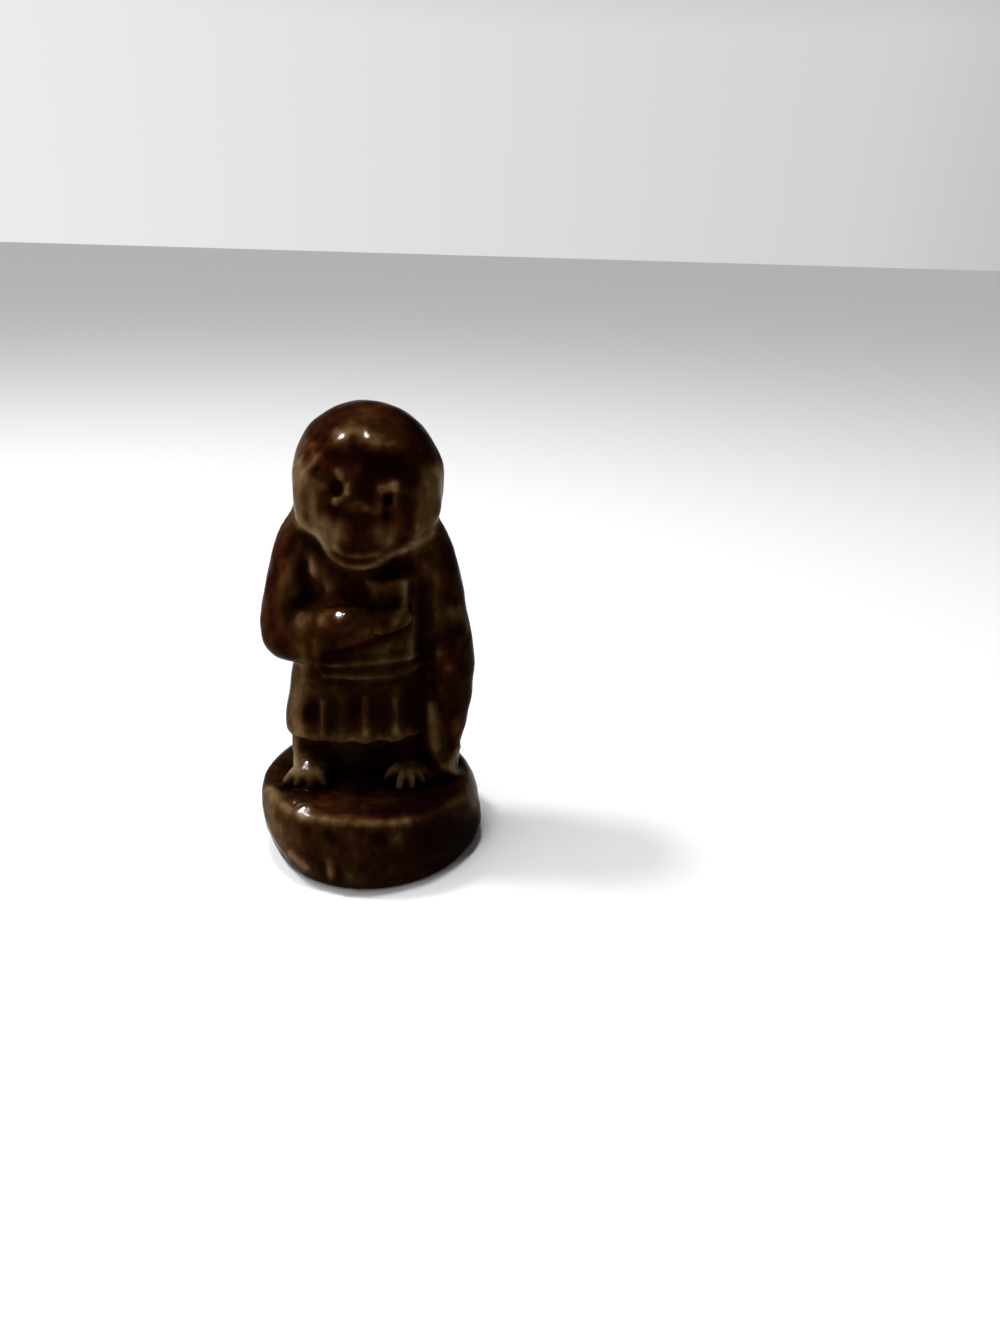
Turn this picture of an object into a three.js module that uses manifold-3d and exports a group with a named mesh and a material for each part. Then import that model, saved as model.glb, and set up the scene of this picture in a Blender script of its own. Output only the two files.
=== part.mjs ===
// A small glazed ceramic figurine, pressed and fired in one piece: a big-headed, long-armed ape
// in a belted tunic with an apron bib and a pleated skirt, standing barefoot on a round base.
// Units are millimetres. +Z is up, the figure faces -Y, and the origin is the middle of the
// base's flat underside. The bent arm lies across the belly, on the -X side, and the hanging
// arm reaches down to the base, on the +X side.

import * as THREE from "three";
import { mergeVertices } from "three/addons/utils/BufferGeometryUtils.js";
import Module from "manifold-3d";

const wasm = await Module();
wasm.setup();

// Driving dimensions
const BASE_RADIUS = 11.05;
const BASE_HEIGHT = 8.2;
const UNDERSIDE_RADIUS = 9.7;
const HEM_Z = 13.4;
const BELT_Z = 21;
const SHOULDER_Z = 31.5;
const HEAD_TOP_Z = 44.8;
const HEAD_HALF_WIDTH = 6.6;

const GLAZE = { color: 0x3a1d0c, roughness: 0.12, metalness: 0 };

const { clamp, lerp, smoothstep } = THREE.MathUtils;
const vec = (x, y, z) => new THREE.Vector3(x, y, z);

// A closed three.js geometry, facing in or out, as a solid that can be joined and cut
function solid(geometry) {
  geometry.deleteAttribute("normal");
  geometry.deleteAttribute("uv");
  const merged = mergeVertices(geometry, 1e-4);
  const index = new Uint32Array(merged.index.array);
  const made = (triVerts) => {
    const vertProperties = merged.attributes.position.array;
    return new wasm.Manifold(new wasm.Mesh({ numProp: 3, vertProperties, triVerts }));
  };
  const first = made(index);
  return first.volume() > 0 ? first : made(index.reverse());
}

const join = (solids) => solids.reduce((whole, piece) => whole.add(piece));

const cut = (whole, solids) => solids.reduce((left, piece) => left.subtract(piece), whole);

// Moves each vertex of a geometry to where place() puts it
function reshaped(geometry, place) {
  const position = geometry.attributes.position;
  const point = vec(0, 0, 0);
  for (let i = 0; i < position.count; i += 1) {
    const moved = place(point.fromBufferAttribute(position, i));
    position.setXYZ(i, moved.x, moved.y, moved.z);
  }
  return geometry;
}

// An egg shape: half-axes along X, Y and Z, squarer as squareness rises above 2
function egg(centre, halfAxes, across = 12, down = 8, squareness = 2) {
  const geometry = new THREE.SphereGeometry(1, across, down);
  geometry.rotateX(Math.PI / 2);
  reshaped(geometry, (p) => {
    const power = squareness;
    const size = (Math.abs(p.x) ** power + Math.abs(p.y) ** power + Math.abs(p.z) ** power) ** (1 / power);
    return p.divideScalar(size);
  });
  geometry.scale(...halfAxes);
  geometry.translate(...centre);
  return solid(geometry);
}

// A round-ended limb: a capsule bent along a smooth curve through [x, y, z, radius] stops. Its
// section is deeper than wide as depth rises above 1.
function limb(stops, around = 12, along = 6, capRows = 3, depth = 1) {
  const path = new THREE.CatmullRomCurve3(stops.map(([x, y, z]) => vec(x, y, z)));
  const last = stops.length - 1;
  const radiusAt = (t) => {
    const i = Math.min(Math.floor(t * last), last - 1);
    return lerp(stops[i][3], stops[i + 1][3], t * last - i);
  };
  const geometry = new THREE.CapsuleGeometry(1, 1, capRows, around, along);
  reshaped(geometry, ({ x, y, z }) => {
    const onPath = clamp(y, -0.5, 0.5);
    const t = onPath + 0.5;
    const tangent = path.getTangent(t);
    const level = Math.abs(tangent.y) > 0.9 ? vec(1, 0, 0) : vec(0, 1, 0);
    const side = level.cross(tangent).normalize();
    const lift = tangent.clone().cross(side);
    return path
      .getPoint(t)
      .addScaledVector(side, x * radiusAt(t))
      .addScaledVector(lift, z * radiusAt(t) * depth)
      .addScaledVector(tangent, (y - onPath) * radiusAt(t));
  });
  return solid(geometry);
}

// The round base: a bun shape with a rounded rim and a slightly dished top. As hand-pressed clay
// it is a little oval in plan, and it leans to -X from its underside to its top.
const RIM_WIDTH = 2.2;
const RIM_SLOPE = 0.9;
const TOP_DISH = 0.3;
const BASE_OVAL = 0.035;
const BASE_OVAL_ANGLE = 0.72;
const BASE_LEAN = 0.5;

function base() {
  const rimStart = BASE_HEIGHT - RIM_WIDTH;
  const profile = new THREE.Path();
  profile.moveTo(0, 0);
  profile.lineTo(UNDERSIDE_RADIUS, 0);
  profile.quadraticCurveTo(BASE_RADIUS - 0.5, 0.3, BASE_RADIUS - 0.1, BASE_HEIGHT * 0.4);
  profile.quadraticCurveTo(BASE_RADIUS - 0.05, BASE_HEIGHT * 0.6, BASE_RADIUS - 0.2, rimStart);
  profile.quadraticCurveTo(BASE_RADIUS - 0.35, BASE_HEIGHT, BASE_RADIUS - RIM_WIDTH, BASE_HEIGHT);
  profile.lineTo(BASE_RADIUS - RIM_WIDTH - RIM_SLOPE, BASE_HEIGHT - TOP_DISH);
  profile.lineTo(0, BASE_HEIGHT - TOP_DISH);
  const geometry = new THREE.LatheGeometry(profile.getPoints(3), 40);
  geometry.rotateX(Math.PI / 2);
  reshaped(geometry, (p) => {
    const stretch = 1 + BASE_OVAL * Math.cos(2 * (Math.atan2(p.y, p.x) - BASE_OVAL_ANGLE));
    const lean = BASE_LEAN * (1 - (2 * p.z) / BASE_HEIGHT);
    return vec(p.x * stretch + lean, p.y * stretch, p.z);
  });
  return solid(geometry);
}

// The robe's section at a few heights: its middle in X, half-width, and reach to front and back
const ROBE_STATIONS = [
  { z: HEM_Z, middle: -1.1, half: 6.7, front: 4.2, back: 5.0 },
  { z: HEM_Z + 0.4, middle: -1.1, half: 7.25, front: 4.6, back: 5.5 },
  { z: 17, middle: -0.75, half: 6.75, front: 4.3, back: 5.4 },
  { z: BELT_Z, middle: -0.5, half: 6.25, front: 4.2, back: 5.3 },
  { z: 26, middle: -0.3, half: 6.5, front: 4.4, back: 5.7 },
  { z: SHOULDER_Z - 1.5, middle: 0, half: 6.2, front: 4.0, back: 5.6 },
  { z: SHOULDER_Z + 1.5, middle: 0, half: 5.2, front: 2.9, back: 5.0 },
  { z: SHOULDER_Z + 4, middle: 0, half: 3.2, front: 1.6, back: 3.6 },
];
const ROBE_SQUARENESS = 2.8;

function robeSection(z) {
  const stations = ROBE_STATIONS;
  const found = stations.findIndex((station) => station.z > z);
  const i = found < 0 ? stations.length - 1 : Math.max(found, 1);
  const t = clamp((z - stations[i - 1].z) / (stations[i].z - stations[i - 1].z), 0, 1);
  const blend = (key) => lerp(stations[i - 1][key], stations[i][key], t);
  return { middle: blend("middle"), half: blend("half"), front: blend("front"), back: blend("back") };
}

// A point on the robe at a height and an angle, where -90 degrees is the front, moved out by out
function onRobe(angle, z, out = 0) {
  const { middle, half, front, back } = robeSection(z);
  const power = 2 / ROBE_SQUARENESS;
  const c = Math.cos(angle);
  const s = Math.sin(angle);
  const x = Math.sign(c) * Math.abs(c) ** power * (half + out);
  const y = Math.sign(s) * Math.abs(s) ** power * ((s < 0 ? front : back) + out);
  return vec(middle + x, y, z);
}

// The angle at which the robe's front passes a place in X
function frontAngle(x, z) {
  const { middle, half } = robeSection(z);
  const share = clamp((x - middle) / half, -1, 1);
  return -Math.acos(Math.sign(share) * Math.abs(share) ** (ROBE_SQUARENESS / 2));
}

// The pleats: ridges across the front at these places in X, and even folds round the back
const FRONT_PLEATS = [-4.3, -2.4, -0.5, 2.2];
const PLEAT_DEPTH = 0.65;
const PLEAT_HALF_WIDTH = 0.42;
const BACK_PLEATS = 12;
const PLEATS_START_Z = BELT_Z - 1.3;

// One column of the skirt: the angle it stands at by height, and how far it is lifted
const skirtColumns = [
  ...FRONT_PLEATS.flatMap((x) => [-1, 0, 1].map((side) => ({
    angleAt: (z, width) => frontAngle(x + side * width, z),
    lift: side === 0 ? 1 : 0,
  }))),
  ...[3.9, 5.2].map((x) => ({ angleAt: (z) => frontAngle(x, z), lift: 0 })),
  ...Array.from({ length: 2 * BACK_PLEATS + 1 }, (_, i) => ({
    angleAt: () => (Math.PI * i) / (2 * BACK_PLEATS),
    lift: (i % 2) * 0.6,
  })),
  ...[-7.3, -6.2, -5.4].map((x) => ({ angleAt: (z) => frontAngle(x, z), lift: 0 })),
];

function skirt() {
  const high = BELT_Z + 0.5;
  const rows = [HEM_Z, HEM_Z + 0.4, 15.4, 17.4, PLEATS_START_Z, high];
  const count = skirtColumns.length;
  const geometry = new THREE.CylinderGeometry(1, 1, 1, count, rows.length - 1);
  geometry.rotateX(Math.PI / 2);
  reshaped(geometry, (p) => {
    const z = rows[Math.round((p.z + 0.5) * (rows.length - 1))];
    if (Math.hypot(p.x, p.y) < 1e-6) return vec(0, 0, z);
    const turn = Math.round((Math.atan2(p.x, -p.y) / (2 * Math.PI)) * count);
    const column = skirtColumns[(turn + count) % count];
    const low = smoothstep(HEM_Z + 2.5 - z, 0, 2.5);
    const fade = smoothstep(PLEATS_START_Z - z, 0, 2);
    return onRobe(column.angleAt(z, PLEAT_HALF_WIDTH * (1 + low)), z, PLEAT_DEPTH * fade * column.lift);
  });
  return solid(geometry);
}

// A closed skin that follows the robe between two heights, moved out by out
function robeBand(low, high, out, across, down) {
  const geometry = new THREE.CylinderGeometry(1, 1, 1, across, down);
  geometry.rotateX(Math.PI / 2);
  reshaped(geometry, (p) => {
    const z = lerp(low, high, p.z + 0.5);
    return Math.hypot(p.x, p.y) < 1e-6 ? vec(0, 0, z) : onRobe(Math.atan2(p.y, p.x), z, out);
  });
  return solid(geometry);
}

const bodice = () => robeBand(BELT_Z - 1, ROBE_STATIONS.at(-1).z, 0, 30, 6);

// The belt: two cords round the waist, a little higher on the hanging arm's side
const BELT_CORDS = [BELT_Z + 0.75, BELT_Z - 0.45];
const BELT_CORD_RADIUS = 0.42;
const BELT_SLOPE = 0.05;

function beltCord(height) {
  const geometry = new THREE.TorusGeometry(1, BELT_CORD_RADIUS, 6, 28);
  reshaped(geometry, (p) => {
    const on = onRobe(Math.atan2(p.y, p.x), height, Math.hypot(p.x, p.y) - 0.9);
    return on.setZ(height + p.z + BELT_SLOPE * on.x);
  });
  return solid(geometry);
}

// Legs, the closed wall between them, and feet with splayed toes
const FEET = [
  { ankle: [-6, -1.3], toes: [[-8.5, -3.4], [-7.4, -3.8], [-6, -4.2], [-4.8, -4]] },
  { ankle: [3.7, -1.6], toes: [[1.4, -3.3], [2.6, -5.2], [3.8, -5.1], [4.9, -4.2], [5.8, -3.4]] },
];
const INSTEP_Z = BASE_HEIGHT + 0.8;
const TOE_RADIUS = 0.4;

function foot({ ankle: [x, y], toes }) {
  const leg = limb([[x, y + 1.9, BASE_HEIGHT, 1.9], [x, y + 2.2, HEM_Z, 2]], 12, 1, 1);
  const instep = egg([x, y - 0.4, INSTEP_Z], [1.7, 2.1, 1.2]);
  const toe = ([tipX, tipY]) => limb([
    [lerp(x, tipX, 0.4), lerp(y, tipY, 0.4), INSTEP_Z + 0.4, TOE_RADIUS],
    [lerp(x, tipX, 0.75), lerp(y, tipY, 0.75), INSTEP_Z + 0.15, TOE_RADIUS],
    [tipX, tipY + TOE_RADIUS, BASE_HEIGHT + 0.05, TOE_RADIUS],
  ], 6, 2, 1);
  return join([leg, instep, ...toes.map(toe)]);
}

const legWall = () => egg([-1.1, 1.6, BASE_HEIGHT + 2], [6, 2.6, 5], 16, 6);

// The bent arm: upper arm, wide sleeve across the belly with folds at the elbow, and the hand
const FOLD_X = [-5.9, -4.4, -2.7];

function bentArm() {
  const upper = limb([
    [-4.5, 0.8, 34, 2.25], [-5.85, 0.5, 31.4, 2.6], [-6.65, 0.1, 28.3, 2.65],
    [-7.3, -0.6, 25.6, 2.65], [-7.3, -1.2, 23.4, 2.7],
  ], 12, 6, 2, 1.3);
  const fore = limb([
    [-7, -1.6, 23.5, 2.6], [-5.2, -3.3, 23.9, 2.5], [-2.9, -4.4, 25.2, 2], [-0.4, -5, 26.1, 1.4],
    [1.3, -5.1, 26.5, 0.95],
  ], 12, 7, 2);
  const folds = FOLD_X.map((x) => egg([x, -5.55 - 0.35 * (x + 4.4), 26.1 + 0.2 * (x + 5.9)],
    [0.65, 0.8, 0.95], 8, 6));
  const fingers = [0, 1, 2, 3].map((i) => {
    const z = 26.8 - 0.45 * i;
    return limb([[1.2, -5.9, z - 0.2, 0.28], [2.3, -5.8, z, 0.28], [3.2, -5.1, z + 0.3, 0.28]], 6, 2, 1);
  });
  return join([upper, fore, ...folds, ...fingers]);
}

// The hanging arm: a long sleeve down to the base, with the hand lying against it
function hangingArm() {
  const sleeve = limb([
    [4.5, 0.8, 33.2, 2.2], [5.4, 0.6, 31, 2.4], [6.2, 0.3, 28, 2.5], [6.85, 0, 24.3, 2.5],
    [7.5, -0.3, 20.5, 2.5], [7.7, -0.6, 17, 2.3], [7.35, -0.8, 13.8, 2.1], [7.05, -1, 11, 1.75],
    [7.2, -1.4, 9.2, 1.5],
  ], 12, 11, 2, 1.35);
  const cuff = limb([[5.4, -2.75, 23.6, 0.5], [7.1, -3.4, 23.5, 0.55], [8.6, -2.4, 23.8, 0.45]], 6, 3, 1);
  const hand = limb([
    [5.75, -2.9, 16.4, 0.5], [5.9, -3.1, 14.2, 0.95], [6.35, -3.2, 12.2, 1.1], [7.1, -3.1, 10.2, 0.7],
    [7.7, -3, 8.7, 0.35],
  ], 8, 6, 1);
  return join([sleeve, cuff, hand]);
}

// The apron bib, standing proud of the robe, with its strap and the edge of the neck opening
const BIB_TOP_Z = 29.8;

function bibAndCollar() {
  const outline = new THREE.Shape();
  outline.moveTo(-4, BELT_Z + 0.5);
  outline.lineTo(3.9, BELT_Z + 0.7);
  outline.lineTo(3.6, BIB_TOP_Z);
  outline.lineTo(-0.4, BIB_TOP_Z - 0.2);
  outline.lineTo(-0.2, BIB_TOP_Z - 2.3);
  outline.lineTo(-3.2, BIB_TOP_Z - 4);
  const prism = new THREE.ExtrudeGeometry(outline, { depth: 8, bevelEnabled: false });
  prism.rotateX(Math.PI / 2);
  const bib = robeBand(BELT_Z, BIB_TOP_Z + 1, 0.45, 30, 3).intersect(solid(prism));
  const strap = limb([[3.3, -4.2, BIB_TOP_Z, 0.4], [3.4, -4.5, 26, 0.4], [3.7, -4.3, 21.8, 0.4]], 6, 4, 2);
  const collar = limb([[-5.2, -2, 32.5, 0.6], [-4.7, -2.8, 30.8, 0.6], [-3.6, -3.8, 28.6, 0.5]], 6, 4, 2);
  return join([bib, strap, collar]);
}

// The deep places in the robe: under the chin, beside the bib, and between arm and chest
const robeHollows = () => [
  egg([3.2, -4, 31], [2, 1.3, 0.9], 10, 6),
  egg([-1.4, -4.4, 28.6], [1.2, 1, 1.5], 10, 6),
  egg([-5, -4.4, 28.6], [1.4, 1.4, 1.6], 10, 6),
];

// The head: a round face set back inside a cap of hair and wide cheeks, with a flat muzzle
const HEAD_Y = -0.7;
const HEAD_HALF_HEIGHT = 5.9;
const CHEEK_Z = 37.2;
const FRINGE = [[-2.4, -5, 42.2], [0.3, -5.2, 42.1], [2.9, -4.6, 41.8]];

// Raised eye rings, each with its middle, its half-width and its half-height
const EYES = [
  { at: [-2.4, -6.1, 38.65], ring: [0.8, 1.15] },
  { at: [1.95, -5.95, 37.4], ring: [0.95, 1.2] },
];
const RING_RADIUS = 0.34;
const EYE_HOLE = [0.45, 0.9, 0.6];

function eyeRing({ at, ring: [halfWidth, halfHeight] }) {
  const geometry = new THREE.TorusGeometry(1, RING_RADIUS, 6, 14);
  reshaped(geometry, (p) => {
    const out = Math.hypot(p.x, p.y) - 1;
    const angle = Math.atan2(p.y, p.x);
    return vec((halfWidth + out) * Math.cos(angle), p.z, (halfHeight + out) * Math.sin(angle));
  });
  geometry.rotateZ(-0.07 * at[0]);
  geometry.translate(...at);
  return solid(geometry);
}

function head() {
  const face = egg([0.1, HEAD_Y, HEAD_TOP_Z - HEAD_HALF_HEIGHT], [5.9, 5.7, 5.4], 18, 12);
  const hair = egg([0.2, HEAD_Y + 0.1, HEAD_TOP_Z - HEAD_HALF_HEIGHT],
    [HEAD_HALF_WIDTH - 0.15, 6.3, HEAD_HALF_HEIGHT], 24, 14);
  const cheeks = egg([0.2, HEAD_Y - 0.2, CHEEK_Z], [HEAD_HALF_WIDTH, 5.7, 4.6], 24, 12, 3);
  const faceOpening = egg([0.1, -7.6, 39], [4.6, 4, 3.2], 16, 10);
  const muzzle = egg([-0.5, -3.3, 34.7], [3.7, 3.7, 4.1], 18, 12, 2.5);
  const brow = FRINGE.map((at) => egg(at, [1.8, 0.95, 1.1], 8, 6));
  const nose = limb([[-1.2, -6.5, 36.9, 0.35], [-0.4, -6.9, 37.1, 0.45], [0.9, -6.6, 36.7, 0.35]], 6, 4, 2);
  const ears = [
    limb([[-4.6, -3.9, 41.7, 0.4], [-4.5, -4.4, 40.6, 0.4], [-5.6, -3.2, 39.2, 0.4]], 6, 4, 1),
    egg([6, -0.8, 38.7], [1.1, 1.6, 1.6], 8, 6),
  ];
  const philtrum = limb([[-0.4, -7.7, 36, 1], [-0.6, -7.8, 34.6, 1]], 10, 1, 2);
  const mouth = limb([[-2.9, -6.5, 33.4, 0.3], [-0.5, -7.1, 32.6, 0.35], [2, -6.4, 33.5, 0.3]], 6, 5, 1);
  const eyeHoles = EYES.map(({ at }) => egg(at, EYE_HOLE, 8, 6));
  const shell = cut(join([hair, cheeks]), [faceOpening]);
  const relief = cut(join([face, shell, muzzle, nose]), [philtrum, mouth]);
  return cut(join([relief, ...ears, ...brow, ...EYES.map(eyeRing)]), eyeHoles);
}

const clothes = cut(join([skirt(), bodice(), bibAndCollar()]), robeHollows());

const figurine = join([
  base(),
  legWall(),
  ...FEET.map(foot),
  clothes,
  ...BELT_CORDS.map(beltCord),
  bentArm(),
  hangingArm(),
  head(),
]);

function meshOf(name, shape) {
  const { vertProperties, triVerts, numProp } = shape.getMesh();
  const geometry = new THREE.BufferGeometry();
  geometry.setAttribute("position", new THREE.BufferAttribute(vertProperties, numProp));
  geometry.setIndex(new THREE.BufferAttribute(triVerts, 1));
  geometry.computeVertexNormals();
  const mesh = new THREE.Mesh(geometry, new THREE.MeshStandardMaterial(GLAZE));
  mesh.name = name;
  return mesh;
}

const group = new THREE.Group();
group.add(meshOf("figurine", figurine));

export default group;
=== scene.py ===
"""A small glazed ceramic figurine: a big-headed, long-armed ape in a belted, pleated tunic with a bib,
barefoot on a round base. It is one lump of clay: a signed distance, in mm, that forms are joined to and
carved from. Fine relief is laid on with strokes, drawn on the picture plane of the view from in front
and above, that lift or sink the front of the lump. The frame is the CAD model's: +Z up, the figure
faces -Y, and the origin is under the base's middle."""

import copy
import math

import bpy
import numpy as np
from mathutils import Matrix, Vector


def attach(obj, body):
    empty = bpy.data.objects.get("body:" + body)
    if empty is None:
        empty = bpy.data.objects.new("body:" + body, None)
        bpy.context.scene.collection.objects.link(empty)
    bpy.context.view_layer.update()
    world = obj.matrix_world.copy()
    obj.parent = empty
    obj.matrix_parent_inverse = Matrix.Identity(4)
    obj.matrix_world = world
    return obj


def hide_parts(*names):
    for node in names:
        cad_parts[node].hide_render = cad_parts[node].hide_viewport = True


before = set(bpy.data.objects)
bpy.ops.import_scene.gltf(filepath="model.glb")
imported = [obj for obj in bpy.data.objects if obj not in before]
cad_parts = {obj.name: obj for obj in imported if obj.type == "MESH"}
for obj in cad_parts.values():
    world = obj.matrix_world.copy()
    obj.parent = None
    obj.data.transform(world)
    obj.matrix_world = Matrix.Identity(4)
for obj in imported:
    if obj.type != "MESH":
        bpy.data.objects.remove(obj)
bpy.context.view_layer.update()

MM = 0.001

# The view: picture and focal length in picture units, lens, frame and distance in mm, angles in degrees,
# and the aim point's height and its place on the picture
PICTURE = (1000.0, 1333.0)
FOCAL = 1000.0
LENS = 27
LENS_FRAME = 36
VIEW_DISTANCE = 98.0
VIEW_ELEVATION = 23.0
VIEW_ROLL = -1.3
AIM_HEIGHT = 21.0
AIM_PLACE = (369.5, 650.0)

# The figure's main heights and half-widths
BASE_RADIUS = 11.05
BASE_HEIGHT = 8.2
UNDERSIDE_RADIUS = 9.7
HEM_Z = 13.4
BELT_Z = 21.0
SHOULDER_Z = 31.5
HEAD_TOP_Z = 44.8
HEAD_HALF_WIDTH = 6.6


def view_frame():
    """The view's place in mm and its axes (right, up, back) as columns."""
    tilt = math.radians(VIEW_ELEVATION)
    back = np.array([0.0, -math.cos(tilt), math.sin(tilt)])
    place = np.array([0.0, 0.0, AIM_HEIGHT]) + back * VIEW_DISTANCE
    right = np.array([1.0, 0.0, 0.0])
    level = np.stack([right, np.cross(back, right), back], 1)
    across = (AIM_PLACE[0] - PICTURE[0] / 2) / FOCAL
    down = (AIM_PLACE[1] - PICTURE[1] / 2) / FOCAL
    offset = np.array([across, -down, -1.0])
    offset /= np.linalg.norm(offset)
    ahead = np.array([0.0, 0.0, -1.0])
    turn = np.cross(offset, ahead)
    cross = np.array([[0, -turn[2], turn[1]], [turn[2], 0, -turn[0]], [-turn[1], turn[0], 0]])
    aim = np.eye(3) + cross + cross @ cross / (1 + offset @ ahead)
    c, s = math.cos(math.radians(VIEW_ROLL)), math.sin(math.radians(VIEW_ROLL))
    roll = np.array([[c, -s, 0], [s, c, 0], [0, 0, 1]])
    return place, level @ roll @ aim


VIEW_PLACE, VIEW_AXES = view_frame()


def on_picture(points):
    """Where points, in mm, fall on the picture plane."""
    q = (points - VIEW_PLACE) @ VIEW_AXES
    return (PICTURE[0] / 2 - FOCAL * q[:, 0] / q[:, 2], PICTURE[1] / 2 + FOCAL * q[:, 1] / q[:, 2])


def smooth(t):
    """A soft step from 0 to 1 as t goes from 0 to 1."""
    t = np.clip(t, 0, 1)
    return t * t * (3 - 2 * t)


def soft_min(a, b, k):
    """The smaller of two distances, blended where they are within k of each other."""
    h = np.maximum(k - np.abs(a - b), 0) / k
    return np.minimum(a, b) - h * h * k / 4


def curve_through(stops, per_span=5):
    """Points on a smooth curve through stops, each a row of numbers."""
    stops = np.asarray(stops, float)
    ends = np.vstack([2 * stops[0] - stops[1], stops, 2 * stops[-1] - stops[-2]])
    out = []
    for i in range(len(stops) - 1):
        a, b, c, d = ends[i:i + 4]
        square = 2 * a - 5 * b + 4 * c - d
        cube = 3 * b - a - 3 * c + d
        for t in np.arange(per_span) / per_span:
            out.append(0.5 * (2 * b + (c - a) * t + square * t * t + cube * t ** 3))
    return np.array(out + [stops[-1]])


def values_at(z, table):
    """Rows of table, (height, values...), blended smoothly at the heights z."""
    table = np.asarray(table, float)
    heights = table[:, 0]
    i = np.clip(np.searchsorted(heights, z) - 1, 0, len(heights) - 2)
    step = heights[i + 1] - heights[i]
    t = np.clip((z - heights[i]) / step, 0, 1)
    slopes = np.gradient(table[:, 1:], heights, axis=0)
    out = []
    for k in range(table.shape[1] - 1):
        a, b = table[i, k + 1], table[i + 1, k + 1]
        m, n = slopes[i, k] * step, slopes[i + 1, k] * step
        start = (2 * t ** 3 - 3 * t * t + 1) * a + (t ** 3 - 2 * t * t + t) * m
        out.append(start + (3 * t * t - 2 * t ** 3) * b + (t ** 3 - t * t) * n)
    return out


# The distance of a point that no form is near
FAR = 9.0

# How strongly a stroke lifts and sinks, its spread and margin in half-widths, and the depth it fades over
STROKE_LIFT = 0.42
STROKE_SINK = 0.36
STROKE_SPREAD = 1.4
STROKE_MARGIN = 3.2
STROKE_FADE = 1.2


class Clay:
    """The signed distance of a growing lump at a set of points."""

    def __init__(self, points):
        self.p = points
        self.x, self.y, self.z = points.T
        self.u, self.v = on_picture(points)
        self.d = np.full(len(points), FAR)

    def blank(self):
        """A new lump, with nothing in it yet, at the same points."""
        other = copy.copy(self)
        other.d = np.full(len(self.d), FAR)
        return other

    def near(self, low, high, margin=1.6):
        """Points in a box with a margin round it."""
        low, high = np.asarray(low) - margin, np.asarray(high) + margin
        at = np.flatnonzero((self.z > low[2]) & (self.z < high[2]))
        for axis in (0, 1):
            value = self.p[at, axis]
            at = at[(value > low[axis]) & (value < high[axis])]
        return at

    def join(self, at, d, k):
        self.d[at] = soft_min(self.d[at], d, k)

    def carve(self, at, d, k):
        self.d[at] = -soft_min(-self.d[at], d, k)

    def egg(self, centre, half, power=2.0):
        """Points near an egg shape, and its distance at them."""
        centre, half = np.asarray(centre, float), np.asarray(half, float)
        at = self.near(centre - half, centre + half)
        q = np.abs(self.p[at] - centre) / half
        size = np.maximum((q ** power).sum(1), 1e-9) ** (1 / power)
        slope = q ** (power - 1) / half / size[:, None] ** (power - 1)
        return at, (size - 1) / np.maximum(np.sqrt((slope ** 2).sum(1)), 1e-6)

    def limb(self, stops, depth=1.0, per_span=5):
        """Points near a round-ended limb through stops, (x, y, z, radius), and its distance at them."""
        path = curve_through(stops, per_span)
        reach = path[:, 3:] * depth
        at = self.near((path[:, :3] - reach).min(0), (path[:, :3] + reach).max(0))
        squash = np.array([1, 1 / depth, 1])
        q = self.p[at] * squash
        best = np.full(len(at), 99.0)
        ends = path[:, :3] * squash
        for a, b, r, s in zip(ends[:-1], ends[1:], path[:-1, 3], path[1:, 3]):
            line = b - a
            t = np.clip(((q - a) @ line) / (line @ line), 0, 1)
            away = q - a - t[:, None] * line
            far = np.sqrt((away ** 2).sum(1))
            slope = np.sqrt(np.maximum((away ** 2 * squash ** 2).sum(1), 1e-12)) / np.maximum(far, 1e-6)
            best = np.minimum(best, (far - (r + (s - r) * t)) / np.maximum(slope, 0.3))
        return at, best

    def stroke(self, path, width, lift, front):
        """Lifts (or sinks) the front of the lump along a path on the picture plane."""
        path = stroke_path(path)
        at = self.beside(path, STROKE_MARGIN * width, front)
        lift *= STROKE_LIFT if lift > 0 else STROKE_SINK
        fall = np.exp(-(self.far_from(path, at) / (STROKE_SPREAD * width)) ** 2)
        self.d[at] -= lift * fall * smooth((front - self.y[at]) / STROKE_FADE)

    def beside(self, path, margin, front):
        """Points that fall near a path on the picture plane, in front of a depth."""
        low, high = path.min(0) - margin, path.max(0) + margin
        hit = (self.u > low[0]) & (self.u < high[0]) & (self.v > low[1]) & (self.v < high[1])
        return np.flatnonzero(hit & (self.y < front))

    def far_from(self, path, at):
        """How far points are from a path on the picture plane."""
        u, v = self.u[at], self.v[at]
        if len(path) == 1:
            return np.hypot(u - path[0, 0], v - path[0, 1])
        best = np.full(len(at), 1e9)
        for a, b in zip(path[:-1], path[1:]):
            line = b - a
            t = ((u - a[0]) * line[0] + (v - a[1]) * line[1]) / max(line @ line, 1e-9)
            t = np.clip(t, 0, 1)
            best = np.minimum(best, np.hypot(u - a[0] - t * line[0], v - a[1] - t * line[1]))
        return best


def stroke_path(path):
    """A stroke's path as an array, rounded where it has more than two stops."""
    return curve_through(path, 4) if len(path) > 2 else np.asarray(path, float)


# The base
RIM_WIDTH = 1.8
RIM_SLOPE = 0.8
TOP_DISH = 0.42
BASE_OVAL = 0.035
BASE_OVAL_ANGLE = 0.72
BASE_LEAN = 0.5

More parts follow.
